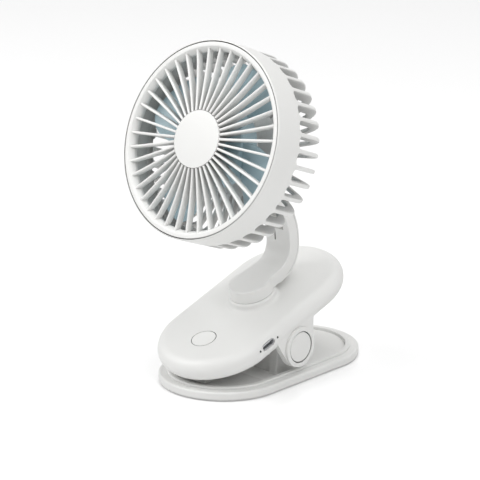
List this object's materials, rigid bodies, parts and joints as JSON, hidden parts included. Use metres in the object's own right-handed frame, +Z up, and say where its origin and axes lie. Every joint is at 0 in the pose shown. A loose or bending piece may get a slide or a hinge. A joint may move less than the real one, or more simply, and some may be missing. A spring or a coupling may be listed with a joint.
{
  "type": "clip fan",
  "caption": "Round fan head on a C-shaped tilting arm that swivels on a battery housing, which is the upper jaw of a sprung desk clip with an oval base.",
  "frame": {"origin": "centre of the oval footprint, on the surface that the clip stands on", "axes": "+Z up; -Y towards the front, where the jaws open and the fan blows; +X towards the side with the charging socket"},
  "size_m": [0.102, 0.1254, 0.1788],
  "materials": {
    "white_plastic": "satin, fine-grained",
    "grille_plastic": "satin",
    "blade_plastic": "satin, pale blue",
    "soft_pad": "matt",
    "steel": "bright zinc plated",
    "spring_steel": "drawn wire",
    "washer_plastic": "natural nylon",
    "board": "solder mask",
    "cell": "laminated foil",
    "socket_metal": "plated",
    "switch_plastic": "matt",
    "light": "clear, unlit",
    "motor_metal": "turned"
  },
  "bodies": {
    "base": {"lower_jaw": "white_plastic", "base_plate": "white_plastic", "foot_pad": "soft_pad", "base_screws": "steel", "lower_grip_pad": "soft_pad", "torsion_spring": "spring_steel"},
    "jaw": {"upper_shell": "white_plastic", "underside_cover": "white_plastic", "body_screws": "steel", "upper_grip_pad": "soft_pad", "pivot_pin": "steel", "pivot_caps": "white_plastic", "circuit_board": "board", "usb_socket": "socket_metal", "tact_switch": "switch_plastic", "indicator_lights": "light", "battery": "cell", "swivel_washer": "washer_plastic"},
    "arm": {"arm_shell": "white_plastic", "arm_back_cover": "white_plastic", "arm_screws": "steel", "swivel_retainer": "steel", "swivel_screw": "steel", "tilt_pin": "steel", "tilt_washers": "washer_plastic"},
    "head": {"head_shell": "white_plastic", "front_grille": "grille_plastic", "centre_cap": "grille_plastic", "motor": "motor_metal", "tilt_knuckle": "white_plastic", "knuckle_screws": "steel"},
    "rotor": {"impeller": "blade_plastic", "motor_shaft": "steel"},
    "button": {"power_button": "white_plastic"}
  },
  "joints": [
    {"name": "jaw_hinge", "type": "hinge", "parent": "base", "child": "jaw", "pos_m": [0, -0.0052, 0.0195], "axis": [-1, 0, 0], "range_deg": [0, 28], "stiffness_Nm_per_rad": 0.57, "springref_deg": -57.3, "deforming": ["torsion_spring"]},
    {"name": "arm_swivel", "type": "hinge", "parent": "jaw", "child": "arm", "pos_m": [0, -0.00668, 0.04262], "axis": [0, -0.3239, 0.9461], "range_deg": [-175, 175]},
    {"name": "head_tilt", "type": "hinge", "parent": "arm", "child": "head", "pos_m": [0, -0.00376, 0.09648], "axis": [-1, 0, 0], "range_deg": [-45, 90]},
    {"name": "fan_spin", "type": "hinge", "parent": "head", "child": "rotor", "pos_m": [0, -0.03168, 0.12607], "axis": [0, -0.9348, 0.3551], "continuous": true},
    {"name": "button_press", "type": "slide", "parent": "jaw", "child": "button", "axis": [0, 0.3239, -0.9461], "range_m": [0, 0.0006], "stiffness_N_per_m": 800, "springref_m": -0.0005}
  ]
}
